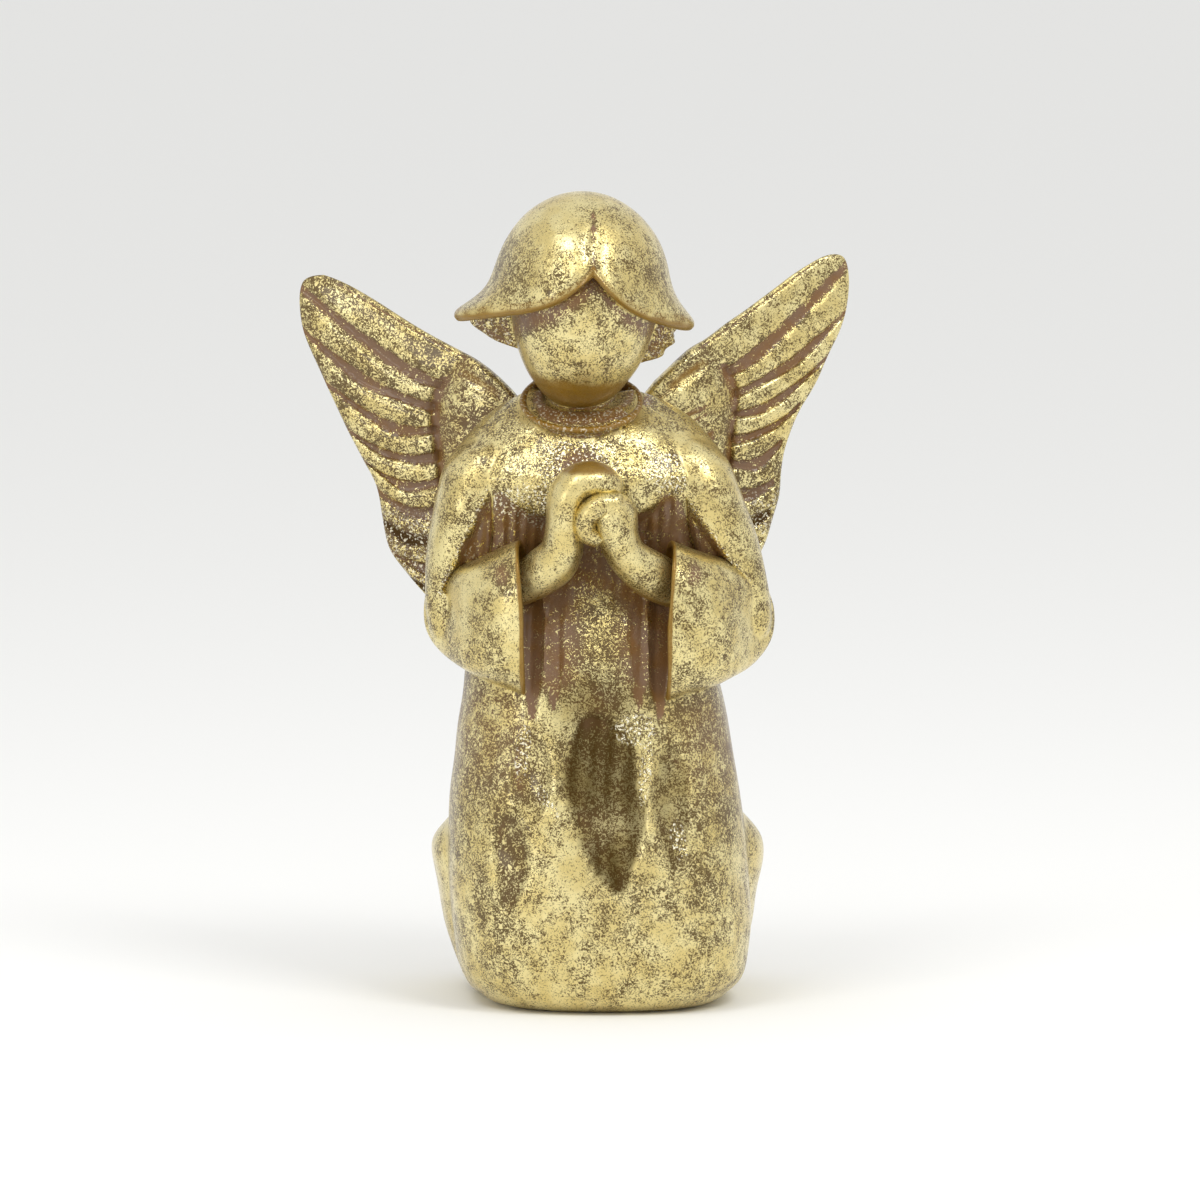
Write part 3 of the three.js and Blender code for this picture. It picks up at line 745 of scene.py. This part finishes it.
def feathers(v, u, closed_ends):
    """Relief and bare ground of the feathers: flat-bottomed channels between rounded bands, below a plain
    leading band. The channels may close before the feather ends."""
    band = mix(BAND_AT_ROOT, BAND_AT_TIP, u)
    place = np.maximum((v - band) / (1 - band) * FEATHERS, 0)
    share = place - np.floor(place)
    lower = smooth(v, 0.5, 0.62)
    uneven = 1 + 0.16 * np.sin(8 * u + 2.4 * np.floor(place))
    wide = CHANNEL * mix(0.94, 1.1, lower) * (1 - 0.4 * smooth(u, 0.55, 1)) * uneven
    channel = smooth(share, 0, 0.09) * (1 - smooth(share, wide - 0.05, wide + 0.07)) * (v > band)
    ends = 1 - closed_ends * smooth(u, 0.86, 0.94) * smooth(v, 0.3, 0.45)
    channel = channel * ends * (1 - smooth(v, 0.965, 0.985))
    crown = np.sin(np.pi * np.clip((share - wide) / (1 - wide), 0, 1)) * (v > band)
    tilt = lower * (share - 0.5) * np.cos(2.6 * np.floor(place)) * (v < 0.985)
    return GROW * (0.25 * crown + 0.7 * tilt - mix(0.95, 0.7, lower) * channel), channel


def wing(join, root, tips, sag, closed_ends, worn):
    """Two sheets over one outline, pinched at its edge: the share down the wing by the share along it."""
    joins, roots, ends = through(join), through(root), through(tips)
    v = np.concatenate([np.linspace(0, 0.03, 5)[:-1], np.linspace(0.03, 0.985, 136), [0.992, 0.997, 1]])
    inward, outward = np.linspace(0, 0.26, 7)[:-1], np.linspace(0.4, 1, 29)[:-1]
    along = np.concatenate([inward, np.linspace(0.26, 0.4, 12)[:-1], outward, [0.988, 0.995, 1]])[:, None]
    down = np.concatenate([v, v[-2:0:-1]])[None, :]
    facing = np.concatenate([-np.ones(len(v)), np.ones(len(v) - 2)])[None, :]
    jx, jz = joins(down)
    rx, rz = roots(down)
    tx, tz = ends(down)
    u = np.clip((along - COVERT_SHARE) / (1 - COVERT_SHARE), 0, 1)
    inner = np.clip(along / COVERT_SHARE, 0, 1)
    x = np.where(u > 0, mix(rx, tx, u), mix(jx, rx, inner))
    z = np.where(u > 0, mix(rz, tz, u), mix(jz, rz, inner))
    z = z - GROW * sag * 4 * u * (1 - u) * (0.15 + 0.85 * np.sin(np.pi * down))
    z = z - GROW * TIP_DROOP * u**8 * (1 - down) ** 10
    z = z + GROW * COVERT_ARCH * 4 * inner * (1 - inner) * (1 - down) ** 3
    rim = np.sqrt(np.clip(1 - np.abs(2 * down - 1) ** 14, 0, 1)) * np.sqrt(np.clip(1 - u**10, 0, 1))
    relief, channel = feathers(down, u, closed_ends)
    feathered = smooth(along, 0.97 * COVERT_SHARE, 1.06 * COVERT_SHARE)
    root_groove = hill(along, 1.04 * COVERT_SHARE, 0.03) * smooth(down, BAND_AT_ROOT - 0.04, BAND_AT_ROOT)
    edge_line = hill(down, 0.03, 0.007) * smooth(along, 0.6 * COVERT_SHARE, COVERT_SHARE)
    edge_line = edge_line * (1 - smooth(u, 0.85, 0.95))
    crescent = hill(down, 0.1, 0.035) * smooth(inner, 0.35, 0.6) * (1 - smooth(inner, 0.9, 0.99))
    lobe = COVERT_SWELL * (1 - inner**8) * smooth(inner, 0.1, 0.6) * (1 - smooth(down, 0.5, 0.75))
    ahead = facing < 0
    carved = relief * feathered - 1.1 * root_groove - 0.3 * edge_line
    full = carved + GROW * lobe * (1 - 0.6 * crescent)
    thick = GROW * mix(WING_THICKNESS, WING_EDGE, np.maximum(u, down)) / 2
    middle = GROW * WING_BACK + WING_SWEEP * (np.abs(x) - GROW * WING_CLEAR)
    y = middle + facing * (thick + np.where(ahead, full, 0.5 * relief * feathered)) * rim
    points = ring_points(x, y, z)
    low = smooth(down, 0.55, 0.7)
    bare = np.maximum(channel * feathered * mix(0.9, 0.8, low), 0.92 * root_groove)
    ground = 0.2 + worn + 0.12 * (1 - feathered) + 0.08 * low * feathered
    ground = np.maximum(ground, np.maximum(0.82 * bare, 0.6 * edge_line)) * np.where(ahead, 1, 0.7)
    varnish = np.where(ahead, np.maximum(0.75 * crescent, 0.6 * root_groove * smooth(down, 0.3, 0.5)), 0)
    crinkle = 0.4 + 0.42 * low
    # Painted dark reflection on the low feathers, strongest in their channels.
    glaze = low * (0.14 + 0.84 * channel) * (0.65 + 0.35 * np.sin(31 * down + 5 * along)) * ahead
    return closed_shell(points, ground=ground, varnish=varnish, crinkle=crinkle, glaze=glaze)


# The casting. Dents are waves of these lengths in millimetres. Creases are measured after these turns.

DENT_LENGTHS = (34, 26, 19, 15, 12, 10)
DENT_SEED = 7
CREASE_TURNS = (2, 9)
BLEND_SHARE = 0.7


def joined(pieces):
    """One solid from the first object and the others, whose meshes then go."""
    whole = pieces[0]
    for piece in pieces[1:]:
        join = whole.modifiers.new("join", "BOOLEAN")
        join.operation = "UNION"
        join.solver = "MANIFOLD"
        join.object = piece
    graph = bpy.context.evaluated_depsgraph_get()
    mesh = bpy.data.meshes.new_from_object(whole.evaluated_get(graph))
    for piece in pieces:
        bpy.data.objects.remove(piece)
    made = bpy.data.objects.new("angel", mesh)
    bpy.context.scene.collection.objects.link(made)
    return made


def mesh_arrays(mesh):
    """A triangle mesh's corners and faces as arrays."""
    corners = np.empty(len(mesh.vertices) * 3)
    mesh.vertices.foreach_get("co", corners)
    faces = np.empty(len(mesh.loop_triangles) * 3, int)
    mesh.loop_triangles.foreach_get("vertices", faces)
    return corners.reshape(-1, 3), faces.reshape(-1, 3)


def spread(values, weight, faces, turns):
    """Values at corners averaged over the faces round them, by each face's weight, so many times over."""
    result, count = values, len(values)
    total = np.maximum(sum(np.bincount(faces[:, k], weight, count) for k in range(3)), 1e-12)
    for _ in range(turns):
        middle = result[faces].mean(1)
        columns = [
            sum(np.bincount(faces[:, k], weight * middle[:, c], count) for k in range(3)) / total
            for c in range(result.shape[1])
        ]
        result = np.stack(columns, 1)
    return result


def amount(mesh, kind):
    """One of the finish's amounts at every corner of a mesh."""
    values = np.empty(len(mesh.vertices))
    mesh.attributes[kind].data.foreach_get("value", values)
    return values


def blended_joins(mesh, turns):
    """Soft joins: each corner moves towards the average round it by its soft amount, so many times over."""
    mesh.calc_loop_triangles()
    corners, faces = mesh_arrays(mesh)
    a, b, c = corners[faces].transpose(1, 0, 2)
    area = np.linalg.norm(np.cross(b - a, c - a), axis=1)
    share = BLEND_SHARE * amount(mesh, "soft")[:, None]
    for _ in range(turns):
        corners = mix(corners, spread(corners, area, faces, 1), share)
    mesh.vertices.foreach_set("co", corners.ravel())
    mesh.update()


def weathered(mesh):
    """Brown ground and varnish gather in creases: each corner's depth below the surface averaged round it."""
    mesh.calc_loop_triangles()
    corners, faces = mesh_arrays(mesh)
    corners = corners / METRES
    a, b, c = corners[faces].transpose(1, 0, 2)
    cross = np.cross(b - a, c - a)
    area = np.linalg.norm(cross, axis=1) / 2
    count = len(corners)
    normal = np.stack(
        [sum(np.bincount(faces[:, k], cross[:, n], count) for k in range(3)) for n in range(3)], 1
    )
    normal /= np.maximum(np.linalg.norm(normal, axis=1, keepdims=True), 1e-12)
    depth = []
    for turns in CREASE_TURNS:
        around = spread(corners, area, faces, turns)
        below = ((around - corners) * normal).sum(1, keepdims=True)
        depth.append(spread(below, area, faces, 2)[:, 0])
    crease = np.clip(smooth(depth[0], 0.02, 0.16) + smooth(depth[1], 0.1, 0.6), 0, 1)
    ridge = smooth(-depth[0], 0.02, 0.16)
    pooled = crease * smooth(corners[:, 2], 76, 86) * (1 - smooth(amount(mesh, "ground"), 0.5, 0.8))
    changes = {"ground": 0.52 * crease - 0.1 * ridge, "varnish": 0.75 * pooled, "crinkle": 0.2 * crease}
    for kind, change in changes.items():
        value = np.clip(amount(mesh, kind) + change, 0, 1)
        mesh.attributes[kind].data.foreach_set("value", value.astype(np.float32))


def dented(mesh, depth):
    """Every corner moved along its normal by a sum of slow waves, as hand carving leaves a surface."""
    count = len(mesh.vertices)
    corners = np.empty(count * 3)
    mesh.vertices.foreach_get("co", corners)
    normals = np.empty(count * 3)
    mesh.vertex_normals.foreach_get("vector", normals)
    corners, normals = corners.reshape(-1, 3), normals.reshape(-1, 3)
    place = corners / METRES
    draws = np.random.default_rng(DENT_SEED)
    wave = np.zeros(count)
    for length in DENT_LENGTHS:
        way = draws.normal(size=3)
        way *= 2 * np.pi / length / np.linalg.norm(way)
        wave += np.sin(place @ way + draws.uniform(0, 2 * np.pi)) / 3.5
    still = smooth(place[:, 2], 0.5, 6) * (1 - smooth(place[:, 2], HEIGHT - 9, HEIGHT - 3))
    corners += normals * (depth * wave * still)[:, None]
    mesh.vertices.foreach_set("co", corners.ravel())
    mesh.update()


# Materials


def linear(code):
    """An sRGB hex colour as linear red, green, blue and 1."""
    value = np.array([int(code[i : i + 2], 16) for i in (1, 3, 5)]) / 255
    return (*np.where(value <= 0.04045, value / 12.92, ((value + 0.055) / 1.055) ** 2.4), 1.0)


def add(tree, kind, *values, out="", **more):
    """A new node's output. Values and sockets fill its inputs in order, or by name where the name starts with
    a capital, and the other names are its settings."""
    node = tree.nodes.new("ShaderNode" + kind)
    for name, value in more.items():
        if name[0].islower():
            setattr(node, name, value)
    pairs = list(zip((socket for socket in node.inputs if socket.enabled), values))
    named = {name.replace("_", " "): value for name, value in more.items() if name[0].isupper()}
    pairs += [(node.inputs[name], value) for name, value in named.items()]
    for socket, value in pairs:
        if isinstance(value, bpy.types.NodeSocket):
            tree.links.new(value, socket)
        else:
            socket.default_value = value
    return node.outputs[out] if out else next((socket for socket in node.outputs if socket.enabled), None)


def gilding(look):
    """Antique gold leaf laid on a red-brown ground and varnished.

    The leaf is a real metal skin that wrinkles and cracks as it is laid, so brown squiggles show through it,
    more of them in hollows. Clear varnish over all gives a hard, thin gloss, and where it pools it is amber.
    """
    material = bpy.data.materials.new("gold_leaf_under_varnish")
    material.use_nodes = True
    tree = material.node_tree
    tree.nodes.clear()
    place = add(tree, "TexCoord", out="Object")
    kinds = ("ground", "varnish", "crinkle", "glaze")
    amounts = [add(tree, "Attribute", out="Fac", attribute_name=kind) for kind in kinds]
    ground, varnish, crinkle, glaze = amounts

    # Cracks in the leaf are about 0.2 mm wide and 1 mm long, and its flecks 0.4 mm. They lie closer together
    # in islands of 3 mm and patches of 14 mm.
    lines = add(tree, "TexNoise", place, Scale=1000 / 0.95, Detail=3, Roughness=0.6, Distortion=1.2)
    cracks = add(tree, "Math", lines, 2, -1, operation="MULTIPLY_ADD")
    cracks = add(tree, "Math", cracks, operation="ABSOLUTE")
    flecks = add(tree, "TexNoise", place, Scale=1000 / 0.42, Detail=2, Roughness=0.6)
    islands = add(tree, "TexNoise", place, Scale=1000 / 3.4, Detail=3, Roughness=0.55)
    patches = add(tree, "TexNoise", place, Scale=1000 / 14, Detail=2)
    wear = add(tree, "Math", patches, 0.7, ground, operation="MULTIPLY_ADD")
    wear = add(tree, "Math", islands, 0.9, wear, operation="MULTIPLY_ADD")
    reach = add(tree, "MapRange", wear, 0.85, 1.8, 0, 0.4)
    edge = add(tree, "Math", flecks, 0.45, cracks, operation="MULTIPLY_ADD")
    edge = add(tree, "Math", edge, reach, operation="SUBTRACT")
    bare = add(tree, "MapRange", edge, 0.19, 0.26, 1, 0, interpolation_type="SMOOTHSTEP")

    # Leaf and ground change tone over 6 mm. The ground shows redder there, and olive through cracks.
    tone = add(tree, "TexNoise", place, Scale=1000 / 6, Detail=2)
    deep = add(tree, "MapRange", tone, 0.35, 0.65, interpolation_type="SMOOTHSTEP")
    leaf = add(tree, "Mix", deep, look.leaf_light, look.leaf_deep, data_type="RGBA")
    red = add(tree, "MapRange", tone, 0.42, 0.62, interpolation_type="SMOOTHSTEP")
    brown = add(tree, "Mix", red, look.ground, look.red_ground, data_type="RGBA")
    open_ground = add(tree, "MapRange", ground, 0.3, 0.65, interpolation_type="SMOOTHSTEP")
    dull = add(tree, "Mix", open_ground, look.fleck, brown, data_type="RGBA")
    colour = add(tree, "Mix", bare, leaf, dull, data_type="RGBA")

    # A painted dark reflection darkens the deepest hollow and the low feathers, a little less where the leaf
    # has flecks
    shaded = add(tree, "Math", flecks, -0.2, 1, operation="MULTIPLY_ADD")
    shaded = add(tree, "Math", shaded, glaze, operation="MULTIPLY")
    colour = add(tree, "Mix", shaded, colour, look.glaze, data_type="RGBA")
    pooled = add(tree, "Math", islands, 0.5, varnish, operation="MULTIPLY_ADD")
    pooled = add(tree, "MapRange", pooled, 0.6, 1.2, 0, 0.9, interpolation_type="SMOOTHSTEP")
    colour = add(tree, "Mix", pooled, colour, look.amber, data_type="RGBA")

    # Where the leaf is wrinkled most, small facets 0.6 mm across, drawn coarser than they are, get a
    # near-white colour: painted glints
    facets = add(tree, "TexNoise", place, Scale=1000 / 0.6, Detail=1, Roughness=0.5)
    painted_glints = add(tree, "MapRange", facets, 0.57, 0.64, interpolation_type="SMOOTHSTEP")
    wrinkled = add(tree, "MapRange", crinkle, 0.6, 1, 0, 0.85, interpolation_type="SMOOTHSTEP")
    painted_glints = add(tree, "Math", painted_glints, wrinkled, operation="MULTIPLY")
    colour = add(tree, "Mix", painted_glints, colour, look.painted_glint, data_type="RGBA")

    gilt = add(tree, "Math", 1, bare, operation="SUBTRACT")
    gilt = add(tree, "Math", gilt, painted_glints, operation="MAXIMUM")
    metal = add(tree, "Math", pooled, -0.44, 0.97, operation="MULTIPLY_ADD")
    metal = add(tree, "Math", metal, gilt, operation="MULTIPLY")
    rough = add(tree, "MapRange", crinkle, 0.2, 0.9, 0.34, 0.16, interpolation_type="SMOOTHSTEP")
    rough = add(tree, "Math", bare, 0.12, rough, operation="MULTIPLY_ADD")
    coat = add(tree, "Math", glaze, -0.36, 0.4, operation="MULTIPLY_ADD")
    gloss = add(tree, "Math", coat, 0.75, operation="MULTIPLY")

    # The leaf's wrinkles are about 0.9 mm long. Bare ground lies a little below the leaf.
    wrinkles = add(tree, "TexNoise", place, Scale=1000 / 0.9, Detail=3, Roughness=0.65)
    wrinkles = add(tree, "Math", flecks, 0.4, wrinkles, operation="MULTIPLY_ADD")
    strength = add(tree, "Math", crinkle, 0.95, 0.18, operation="MULTIPLY_ADD")
    height = add(tree, "Math", wrinkles, strength, operation="MULTIPLY")
    height = add(tree, "Math", bare, -0.1, height, operation="MULTIPLY_ADD")
    relief = add(tree, "Bump", Strength=1, Distance=look.wrinkle, Height=height)

    shader = add(
        tree,
        "BsdfPrincipled",
        Base_Color=colour,
        Metallic=metal,
        Roughness=rough,
        Normal=relief,
        Coat_Weight=coat,
        Coat_Roughness=0.12,
        Specular_IOR_Level=gloss,
    )
    add(tree, "OutputMaterial", Surface=shader)
    return material


def plain(name, colour, roughness):
    """A matt, even material of one colour."""
    material = bpy.data.materials.new(name)
    material.use_nodes = True
    shader = material.node_tree.nodes["Principled BSDF"]
    shader.inputs["Base Color"].default_value = colour
    shader.inputs["Roughness"].default_value = roughness
    shader.inputs["Specular IOR Level"].default_value = 0.2
    return material


# Sizes and colours that a user may change


def colour_property(name, description, code):
    """A colour that a user may change, from its sRGB hex value."""
    return bpy.props.FloatVectorProperty(
        name=name, description=description, default=linear(code), size=4, min=0, max=1, subtype="COLOR"
    )


def length_property(name, description, default):
    """A length that a user may change, in metres."""
    return bpy.props.FloatProperty(
        name=name, description=description, default=default, min=0,
        precision=5, unit="LENGTH", subtype="DISTANCE",
    )


def angle_property(name, description, degrees):
    """An angle that a user may change, from its degrees."""
    return bpy.props.FloatProperty(
        name=name, description=description, default=np.radians(degrees), unit="ROTATION", subtype="ANGLE"
    )


class AngelLook(bpy.types.PropertyGroup):
    """Colours and finish of the gilding."""

    leaf_light: colour_property("Light leaf", "Colour of bright leaf", "#EBDC9F")
    leaf_deep: colour_property("Deep leaf", "Colour of deeper leaf", "#DDC985")
    # This brown also colours the painted shadow under the hair.
    ground: colour_property("Ground", "Colour of the bare ground", "#795B40")
    red_ground: colour_property("Red ground", "Colour of redder ground", "#7A5730")
    fleck: colour_property("Flecks", "Colour of the ground seen through cracks", "#5E4A1C")
    # The colour of the painted dark reflection on the leaf, in the deepest hollow and the low feathers.
    glaze: colour_property("Glaze", "Colour of leaf under old glaze", "#3C2A08")
    amber: colour_property("Varnish", "Colour of pooled varnish", "#87620B")
    # Near-white colour of painted highlights: glints on wrinkled leaf.
    painted_glint: colour_property("Glints", "Colour of the leaf's small bright facets", "#FFF8DE")
    wrinkle: length_property("Wrinkles", "Height of the leaf's wrinkles", 0.00022)
    dents: length_property("Dents", "Depth of the carving's slow dents", 0.00022)
    blending: bpy.props.IntProperty(
        name="Blending", description="How many times the soft joins are smoothed", default=24, min=0, max=200
    )
    sharp: angle_property("Sharp edges", "Angle above which an edge stays sharp", 48)


class AngelStage(bpy.types.PropertyGroup):
    """Floor, lamps and camera."""

    floor: colour_property("Floor", "Colour of the floor", "#F4F4F2")
    elevation: angle_property("Camera height", "Angle of the camera above the horizon", 6)
    distance: length_property("Camera distance", "From the camera to the figure", 2.2)
    width: length_property("Width in view", "Width that the camera takes in at the figure", 0.2655)


# Operators


class ANGEL_OT_casting(bpy.types.Operator):
    """Makes the whole gilded casting in place of its solid"""

    bl_idname = "angel.casting"
    bl_label = "Casting"

    def execute(self, context):
        look = context.scene.angel_look
        shells = {
            "robe": robe(),
            "train": train(),
            "left_arm": arm(-1),
            "right_arm": arm(1),
            "left_sleeve": sleeve(-1),
            "right_sleeve": sleeve(1),
            **{name: limb(*shape) for name, shape in HANDS.items()},
            "neck": neck(),
            "collar": collar(),
            "face": face(),
            "nape": nape(),
            "hair": hair(),
            **{f"{name}_wing": wing(**shape) for name, shape in WINGS.items()},
        }
        angel = joined([shell_object(name, shell) for name, shell in shells.items()])
        mesh = angel.data
        blended_joins(mesh, look.blending)
        dented(mesh, look.dents)
        weathered(mesh)
        mesh.shade_smooth()
        mesh.set_sharp_from_angle(angle=look.sharp)
        mesh.materials.clear()
        mesh.materials.append(gilding(look))
        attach(angel, "root")
        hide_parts("angel_figure")
        return {"FINISHED"}


# Floor, lamps and camera, in metres. Each lamp has its place, size and watts.

FLOOR_HALF = 12
WORLD_STRENGTH = 0.85
LAMP_AIM = (0, 0, 0.12)
LAMPS = {
    "left_box": ((-0.38, -0.62, 1.05), 0.42, 2.8),
    "right_box": ((0.5, -0.62, 1.0), 0.4, 4.2),
    "low_box": ((-0.9, -1.0, 0.3), 0.3, 1.2),
}
SENSOR_WIDTH = 36
CAMERA_REACH = 40
PICTURE_MIDDLE = (0.00044, 0.0883)


def lamp(name, place, size, power):
    """A square area lamp that faces the figure."""
    data = bpy.data.lights.new(name, "AREA")
    data.size, data.energy = size, power
    made = bpy.data.objects.new(name, data)
    made.location = place
    made.rotation_euler = (Vector(LAMP_AIM) - Vector(place)).to_track_quat("-Z", "Y").to_euler()
    bpy.context.scene.collection.objects.link(made)


class ANGEL_OT_stage(bpy.types.Operator):
    """Makes the pale floor, the soft lamps and the camera"""

    bl_idname = "angel.stage"
    bl_label = "Stage"

    def execute(self, context):
        stage = context.scene.angel_stage
        half = FLOOR_HALF
        mesh = bpy.data.meshes.new("floor")
        corners = [(-half, -half, 0), (half, -half, 0), (half, half, 0), (-half, half, 0)]
        mesh.from_pydata(corners, [], [(0, 1, 2, 3)])
        mesh.materials.append(plain("matt_paper", stage.floor, 0.9))
        floor = bpy.data.objects.new("floor", mesh)
        context.scene.collection.objects.link(floor)

        world = bpy.data.worlds.new("studio")
        context.scene.world = world
        world.use_nodes = True
        background = world.node_tree.nodes["Background"]
        background.inputs["Color"].default_value = linear("#FFFFFF")
        background.inputs["Strength"].default_value = WORLD_STRENGTH
        for name, made in LAMPS.items():
            lamp(name, *made)
        context.scene.view_settings.view_transform = "Standard"

        data = bpy.data.cameras.new("camera")
        data.sensor_width = SENSOR_WIDTH
        data.lens = SENSOR_WIDTH * stage.distance / stage.width
        data.clip_end = CAMERA_REACH
        camera = bpy.data.objects.new("camera", data)
        sine, cosine = np.sin(stage.elevation), np.cos(stage.elevation)
        away = Vector((0, -cosine, sine))
        upward = Vector((0, sine, cosine))
        across, up = PICTURE_MIDDLE
        camera.location = away * stage.distance + upward * up + Vector((across, 0, 0))
        camera.rotation_euler = (-away).to_track_quat("-Z", "Y").to_euler()
        context.scene.collection.objects.link(camera)
        context.scene.camera = camera
        return {"FINISHED"}


class ANGEL_PT_panel(bpy.types.Panel):
    """The figure's sizes, colours and operators"""

    bl_label = "Gilded angel"
    bl_idname = "ANGEL_PT_panel"
    bl_space_type = "VIEW_3D"
    bl_region_type = "UI"
    bl_category = "Angel"

    def draw(self, context):
        layout = self.layout
        for group, names in (
            (context.scene.angel_look, AngelLook.__annotations__),
            (context.scene.angel_stage, AngelStage.__annotations__),
        ):
            for name in names:
                layout.prop(group, name)
        for operator in (ANGEL_OT_casting, ANGEL_OT_stage):
            layout.operator(operator.bl_idname)


CLASSES = (AngelLook, AngelStage, ANGEL_OT_casting, ANGEL_OT_stage, ANGEL_PT_panel)


def register():
    for kind in CLASSES:
        bpy.utils.register_class(kind)
    bpy.types.Scene.angel_look = bpy.props.PointerProperty(type=AngelLook)
    bpy.types.Scene.angel_stage = bpy.props.PointerProperty(type=AngelStage)


def unregister():
    del bpy.types.Scene.angel_stage
    del bpy.types.Scene.angel_look
    for kind in reversed(CLASSES):
        bpy.utils.unregister_class(kind)


def main():
    register()
    bpy.ops.angel.casting()
    bpy.ops.angel.stage()


if __name__ == "__main__":
    main()
